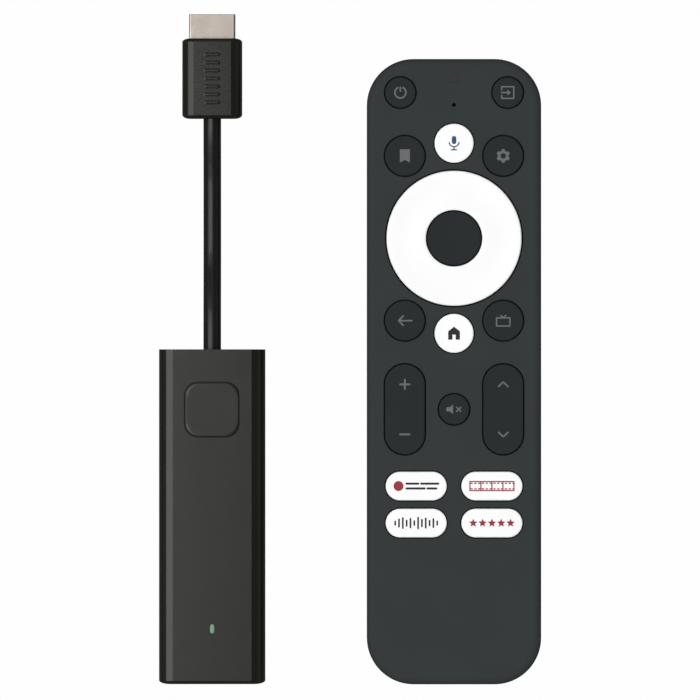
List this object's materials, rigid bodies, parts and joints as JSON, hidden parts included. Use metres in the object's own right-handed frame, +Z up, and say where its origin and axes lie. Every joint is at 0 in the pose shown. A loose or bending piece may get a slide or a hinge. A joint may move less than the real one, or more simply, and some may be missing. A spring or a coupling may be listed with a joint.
{
  "type": "streaming media player",
  "caption": "Streaming media stick with a captive plug cord and a slim hand-held remote control with direction ring, keys and battery cover.",
  "frame": {"origin": "on the resting plane, at the middle of the box round the stick's case and the remote", "axes": "+X from the stick to the remote, +Y along both from their tails towards the plug, +Z up out of the keys"},
  "size_m": [0.1146, 0.2012, 0.0201],
  "materials": {
    "stick_plastic": "fine satin moulded texture",
    "button_plastic": "fine satin moulded texture",
    "grip_plastic": "satin moulded",
    "cord_rubber": "smooth, glossy",
    "remote_plastic": "fine matte moulded texture",
    "dark_key": "matte silicone",
    "white_key": "satin white",
    "plug_metal": "nickel plated, satin",
    "bright_metal": "tin plated",
    "screw_steel": "zinc plated",
    "gold": "gold plated",
    "heat_metal": "satin",
    "circuit_board": "solder mask",
    "chip_black": "moulded epoxy",
    "thermal_pad": "soft pad",
    "wire_jacket": "wire insulation",
    "mat_rubber": "matte silicone",
    "lamp": "translucent green",
    "lamp_chip": "moulded lamp",
    "dark_window": "smoked, reddish",
    "emitter": "clear moulded",
    "cell_sleeve": "printed sleeve"
  },
  "bodies": {
    "stick": {"stick_top_shell": "stick_plastic", "stick_bottom_shell": "stick_plastic", "stick_board": "circuit_board", "stick_shield_can": "bright_metal", "stick_chips": "chip_black", "stick_thermal_pad": "thermal_pad", "stick_heat_spreader": "heat_metal", "stick_antennas": "gold", "stick_switch": "screw_steel", "stick_led": "lamp_chip", "stick_light_pipe": "lamp", "stick_power_port": "bright_metal", "stick_port_tongue": "chip_black", "stick_screws": "screw_steel", "cable_grommet": "cord_rubber", "cable_tail": "cord_rubber", "cable_ferrule": "bright_metal", "cable_wires": "wire_jacket", "cord": "cord_rubber", "plug_grip": "grip_plastic", "plug_shell": "plug_metal", "plug_insulator": "chip_black", "plug_contacts": "gold"},
    "stick_button": {"stick_button": "button_plastic"},
    "remote": {"remote_front_shell": "remote_plastic", "remote_rear_shell": "remote_plastic", "remote_board": "circuit_board", "remote_chips": "chip_black", "keypad_mat": "mat_rubber", "battery_tray": "remote_plastic", "battery_left": "cell_sleeve", "battery_right": "cell_sleeve", "battery_springs": "bright_metal", "battery_contacts": "bright_metal", "ir_window": "dark_window", "ir_emitter": "emitter", "indicator_window": "dark_window", "microphone": "chip_black", "remote_screws": "screw_steel"},
    "power_key": {"power_key": "dark_key"},
    "input_key": {"input_key": "dark_key"},
    "bookmark_key": {"bookmark_key": "dark_key"},
    "assistant_key": {"assistant_key": "white_key"},
    "settings_key": {"settings_key": "dark_key"},
    "back_key": {"back_key": "dark_key"},
    "home_key": {"home_key": "white_key"},
    "live_tv_key": {"live_tv_key": "dark_key"},
    "mute_key": {"mute_key": "dark_key"},
    "app_key_1": {"app_key_1": "white_key"},
    "app_key_2": {"app_key_2": "white_key"},
    "app_key_3": {"app_key_3": "white_key"},
    "app_key_4": {"app_key_4": "white_key"},
    "centre_key": {"centre_key": "dark_key"},
    "volume_rocker": {"volume_rocker": "dark_key"},
    "channel_rocker": {"channel_rocker": "dark_key"},
    "ring_pivot": {"ring_pivot": "mat_rubber"},
    "direction_ring": {"direction_ring": "white_key"},
    "battery_cover": {"battery_cover": "remote_plastic"}
  },
  "joints": [
    {"name": "remote_lift", "type": "slide", "parent": "stick", "child": "remote", "axis": [0, 0, 1], "range_m": [0, 0.03]},
    {"name": "stick_button_press", "type": "slide", "parent": "stick", "child": "stick_button", "axis": [0, 0, -1], "range_m": [0, 0.0004], "stiffness_N_per_m": 4000},
    {"name": "power_key_press", "type": "slide", "parent": "remote", "child": "power_key", "axis": [0, 0, -1], "range_m": [0, 0.0007], "stiffness_N_per_m": 2000},
    {"name": "input_key_press", "type": "slide", "parent": "remote", "child": "input_key", "axis": [0, 0, -1], "range_m": [0, 0.0007], "stiffness_N_per_m": 2000},
    {"name": "bookmark_key_press", "type": "slide", "parent": "remote", "child": "bookmark_key", "axis": [0, 0, -1], "range_m": [0, 0.0007], "stiffness_N_per_m": 2000},
    {"name": "assistant_key_press", "type": "slide", "parent": "remote", "child": "assistant_key", "axis": [0, 0, -1], "range_m": [0, 0.0007], "stiffness_N_per_m": 2000},
    {"name": "settings_key_press", "type": "slide", "parent": "remote", "child": "settings_key", "axis": [0, 0, -1], "range_m": [0, 0.0007], "stiffness_N_per_m": 2000},
    {"name": "back_key_press", "type": "slide", "parent": "remote", "child": "back_key", "axis": [0, 0, -1], "range_m": [0, 0.0007], "stiffness_N_per_m": 2000},
    {"name": "home_key_press", "type": "slide", "parent": "remote", "child": "home_key", "axis": [0, 0, -1], "range_m": [0, 0.0007], "stiffness_N_per_m": 2000},
    {"name": "live_tv_key_press", "type": "slide", "parent": "remote", "child": "live_tv_key", "axis": [0, 0, -1], "range_m": [0, 0.0007], "stiffness_N_per_m": 2000},
    {"name": "mute_key_press", "type": "slide", "parent": "remote", "child": "mute_key", "axis": [0, 0, -1], "range_m": [0, 0.0007], "stiffness_N_per_m": 2000},
    {"name": "app_key_1_press", "type": "slide", "parent": "remote", "child": "app_key_1", "axis": [0, 0, -1], "range_m": [0, 0.0007], "stiffness_N_per_m": 2000},
    {"name": "app_key_2_press", "type": "slide", "parent": "remote", "child": "app_key_2", "axis": [0, 0, -1], "range_m": [0, 0.0007], "stiffness_N_per_m": 2000},
    {"name": "app_key_3_press", "type": "slide", "parent": "remote", "child": "app_key_3", "axis": [0, 0, -1], "range_m": [0, 0.0007], "stiffness_N_per_m": 2000},
    {"name": "app_key_4_press", "type": "slide", "parent": "remote", "child": "app_key_4", "axis": [0, 0, -1], "range_m": [0, 0.0007], "stiffness_N_per_m": 2000},
    {"name": "centre_key_press", "type": "slide", "parent": "remote", "child": "centre_key", "axis": [0, 0, -1], "range_m": [0, 0.0007], "stiffness_N_per_m": 2000},
    {"name": "volume_rocker_tip", "type": "hinge", "parent": "remote", "child": "volume_rocker", "pos_m": [0.01645, -0.0113, 0.0172], "axis": [1, 0, 0], "range_deg": [-2.5, 2.5], "stiffness_Nm_per_rad": 0.3},
    {"name": "channel_rocker_tip", "type": "hinge", "parent": "remote", "child": "channel_rocker", "pos_m": [0.04595, -0.0113, 0.0172], "axis": [1, 0, 0], "range_deg": [-2.5, 2.5], "stiffness_Nm_per_rad": 0.3},
    {"name": "ring_tip_up_down", "type": "hinge", "parent": "remote", "child": "ring_pivot", "pos_m": [0.0312, 0.04, 0.0158], "axis": [1, 0, 0], "range_deg": [-1.5, 1.5], "stiffness_Nm_per_rad": 1},
    {"name": "ring_tip_left_right", "type": "hinge", "parent": "ring_pivot", "child": "direction_ring", "pos_m": [0.0312, 0.04, 0.0158], "axis": [0, 1, 0], "range_deg": [-1.5, 1.5], "stiffness_Nm_per_rad": 1},
    {"name": "battery_cover_slide", "type": "slide", "parent": "remote", "child": "battery_cover", "axis": [0, -1, 0], "range_m": [0, 0.07]}
  ]
}
